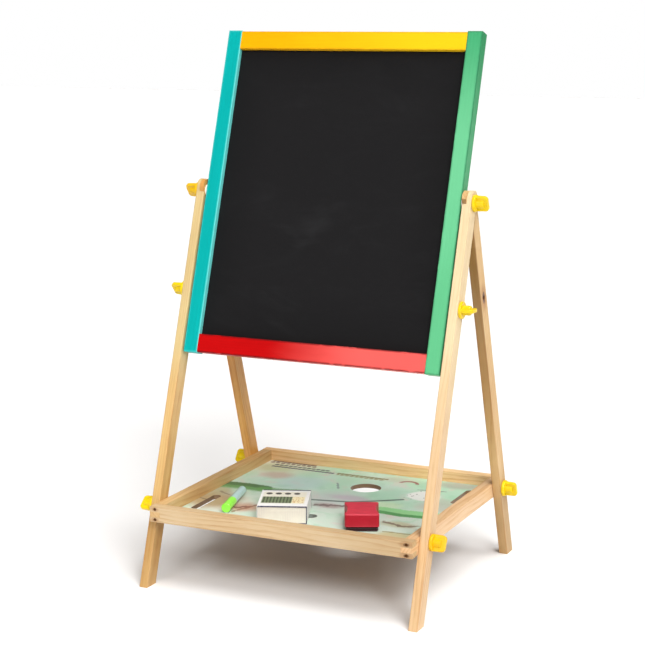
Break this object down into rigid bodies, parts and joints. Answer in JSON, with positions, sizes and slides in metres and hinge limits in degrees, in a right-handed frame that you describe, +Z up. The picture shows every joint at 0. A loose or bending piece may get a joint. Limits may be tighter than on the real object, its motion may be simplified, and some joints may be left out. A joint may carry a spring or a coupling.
{
  "type": "kids easel",
  "caption": "Double-sided kids easel: A-frame of round-topped pine legs, turning chalk and dry-wipe board in coloured rails, wing screws, and a finger-jointed tray with chalk, eraser and pen.",
  "frame": {"origin": "on the floor, at the centre of the footprint of the whole easel", "axes": "+X to the right as the child faces the chalkboard, -Y towards the child, +Z up"},
  "size_m": [0.4352, 0.3552, 0.7215],
  "materials": {
    "pine": "clear-varnished planed pine",
    "paint_teal": "pine rail, teal lacquer",
    "paint_yellow": "pine rail, yellow lacquer",
    "paint_green": "pine rail, green lacquer",
    "paint_red": "pine rail, red lacquer",
    "blackboard": "hardboard with matt chalkboard paint",
    "whiteboard": "hardboard with glossy white dry-wipe film",
    "printed_board": "thin hardboard with a printed satin face",
    "knob_yellow": "moulded yellow plastic",
    "steel": "zinc-plated steel",
    "brass": "turned brass",
    "nylon": "natural nylon",
    "beech": "fluted beech dowel",
    "card": null,
    "chalk": "pressed chalk",
    "eraser_red": "moulded red plastic",
    "felt": "pressed black felt",
    "marker_mint": "moulded pale mint plastic",
    "marker_lime": "moulded lime plastic",
    "nib": "pressed fibre"
  },
  "bodies": {
    "easel_frame": {"front_leg_left": "pine", "front_leg_right": "pine", "rear_leg_left": "pine", "rear_leg_right": "pine", "lock_inserts": "brass", "tray_rail_front": "pine", "tray_rail_rear": "pine", "tray_rail_left": "pine", "tray_rail_right": "pine", "tray_panel": "printed_board", "tray_nails": "steel", "tray_inserts": "brass"},
    "board": {"board_rail_left": "paint_teal", "board_rail_top": "paint_yellow", "board_rail_right": "paint_green", "board_rail_bottom": "paint_red", "blackboard_panel": "blackboard", "whiteboard_panel": "whiteboard", "board_dowels": "beech", "pivot_inserts": "brass", "pivot_washers": "nylon"},
    "pivot_screw_left": {"pivot_knob_left": "knob_yellow", "pivot_stud_left": "steel"},
    "pivot_screw_right": {"pivot_knob_right": "knob_yellow", "pivot_stud_right": "steel"},
    "lock_screw_left": {"lock_knob_left": "knob_yellow", "lock_stud_left": "steel"},
    "lock_screw_right": {"lock_knob_right": "knob_yellow", "lock_stud_right": "steel"},
    "tray_front_screw_left": {"tray_front_knob_left": "knob_yellow", "tray_front_stud_left": "steel"},
    "tray_front_screw_right": {"tray_front_knob_right": "knob_yellow", "tray_front_stud_right": "steel"},
    "tray_rear_screw_left": {"tray_rear_knob_left": "knob_yellow", "tray_rear_stud_left": "steel"},
    "tray_rear_screw_right": {"tray_rear_knob_right": "knob_yellow", "tray_rear_stud_right": "steel"},
    "chalk_box": {"chalk_sleeve": "card"},
    "chalk_box_drawer": {"chalk_drawer": "card", "chalk_sticks": "chalk"},
    "eraser": {"eraser_body": "eraser_red", "eraser_felt": "felt"},
    "marker": {"marker_barrel": "marker_mint", "marker_nib": "nib"},
    "marker_top": {"marker_cap": "marker_lime"}
  },
  "joints": [
    {"name": "board_flip", "type": "hinge", "parent": "easel_frame", "child": "board", "pos_m": [0, 0.00395, 0.508], "axis": [1, 0, 0], "continuous": true},
    {"name": "pivot_screw_left_turn", "type": "hinge", "parent": "easel_frame", "child": "pivot_screw_left", "pos_m": [-0.198, 0.00395, 0.508], "axis": [-1, 0, 0], "continuous": true},
    {"name": "pivot_screw_right_turn", "type": "hinge", "parent": "easel_frame", "child": "pivot_screw_right", "pos_m": [0.198, 0.00395, 0.508], "axis": [1, 0, 0], "continuous": true},
    {"name": "lock_screw_left_turn", "type": "hinge", "parent": "easel_frame", "child": "lock_screw_left", "pos_m": [-0.198, -0.03952, 0.37808], "axis": [-1, 0, 0], "continuous": true},
    {"name": "lock_screw_right_turn", "type": "hinge", "parent": "easel_frame", "child": "lock_screw_right", "pos_m": [0.198, -0.03952, 0.37808], "axis": [1, 0, 0], "continuous": true},
    {"name": "tray_front_screw_left_turn", "type": "hinge", "parent": "easel_frame", "child": "tray_front_screw_left", "pos_m": [-0.198, -0.13206, 0.1015], "axis": [-1, 0, 0], "continuous": true},
    {"name": "tray_front_screw_right_turn", "type": "hinge", "parent": "easel_frame", "child": "tray_front_screw_right", "pos_m": [0.198, -0.13206, 0.1015], "axis": [1, 0, 0], "continuous": true},
    {"name": "tray_rear_screw_left_turn", "type": "hinge", "parent": "easel_frame", "child": "tray_rear_screw_left", "pos_m": [-0.198, 0.13368, 0.1015], "axis": [-1, 0, 0], "continuous": true},
    {"name": "tray_rear_screw_right_turn", "type": "hinge", "parent": "easel_frame", "child": "tray_rear_screw_right", "pos_m": [0.198, 0.13368, 0.1015], "axis": [1, 0, 0], "continuous": true},
    {"name": "chalk_box_lift", "type": "slide", "parent": "easel_frame", "child": "chalk_box", "axis": [0, 0, 1], "range_m": [0, 0.12]},
    {"name": "eraser_lift", "type": "slide", "parent": "easel_frame", "child": "eraser", "axis": [0, 0, 1], "range_m": [0, 0.12]},
    {"name": "marker_lift", "type": "slide", "parent": "easel_frame", "child": "marker", "axis": [0, 0, 1], "range_m": [0, 0.12]},
    {"name": "chalk_drawer_slide", "type": "slide", "parent": "chalk_box", "child": "chalk_box_drawer", "axis": [-0.3665, 0.9304, 0], "range_m": [0, 0.045]},
    {"name": "marker_cap_pull", "type": "slide", "parent": "marker", "child": "marker_top", "axis": [0.2368, -0.9715, 0], "range_m": [0, 0.024]}
  ]
}
